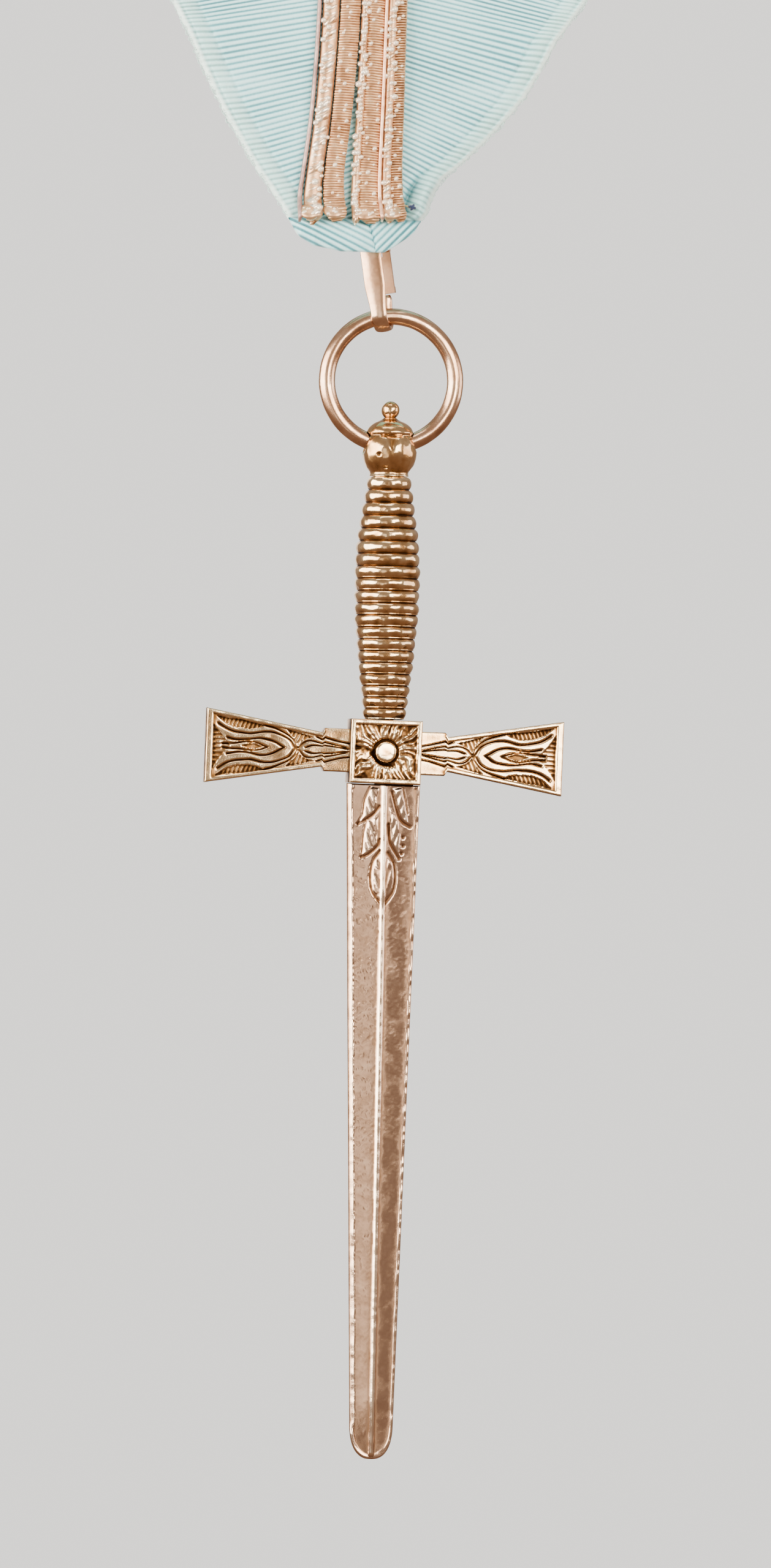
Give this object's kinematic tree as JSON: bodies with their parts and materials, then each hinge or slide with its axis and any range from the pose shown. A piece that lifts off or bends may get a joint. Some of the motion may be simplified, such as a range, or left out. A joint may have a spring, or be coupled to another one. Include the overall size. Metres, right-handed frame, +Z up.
{
  "type": "collar jewel",
  "caption": "Ribbon collar with metal-thread braids, worn round the neck, and a cast dagger pendant that hangs from its point on a ring and spring hook.",
  "frame": {"origin": "where the inner edge of the collar's nape seam bears on the back of the neck", "axes": "+Z up, -Y to the wearer's front, +X to the viewer's right when seen from the front"},
  "size_m": [0.4076, 0.1566, 0.4014],
  "materials": {
    "ribbon": "pale blue moire silk, fine ribs",
    "braid": "tarnished metal thread",
    "fittings": "worn silver plate over brass, polished",
    "casting": "worn silver plate over brass, cast grain"
  },
  "bodies": {
    "collar": {"left_band": "ribbon", "right_band": "ribbon", "point_hem": "ribbon", "left_braid": "braid", "right_braid": "braid", "spring_hook": "fittings"},
    "gate": {"hook_gate": "fittings"},
    "ring": {"hanging_ring": "fittings"},
    "dagger": {"pommel": "casting", "grip": "casting", "cross_guard": "casting", "blade": "casting"}
  },
  "joints": [
    {"name": "gate_pin", "type": "hinge", "parent": "collar", "child": "gate", "pos_m": [0.00092, -0.13744, -0.24274], "axis": [0.9399, -0.309, 0.1455], "range_deg": [-24, 0], "stiffness_Nm_per_rad": 0.01},
    {"name": "ring_swing", "type": "hinge", "parent": "collar", "child": "ring", "pos_m": [0.00152, -0.13891, -0.24973], "axis": [0.9882, 0, 0.153], "range_deg": [-90, 90]},
    {"name": "dagger_swing", "type": "hinge", "parent": "ring", "child": "dagger", "pos_m": [0.0025, -0.13891, -0.26226], "axis": [1, 0, 0], "range_deg": [-90, 90]}
  ]
}
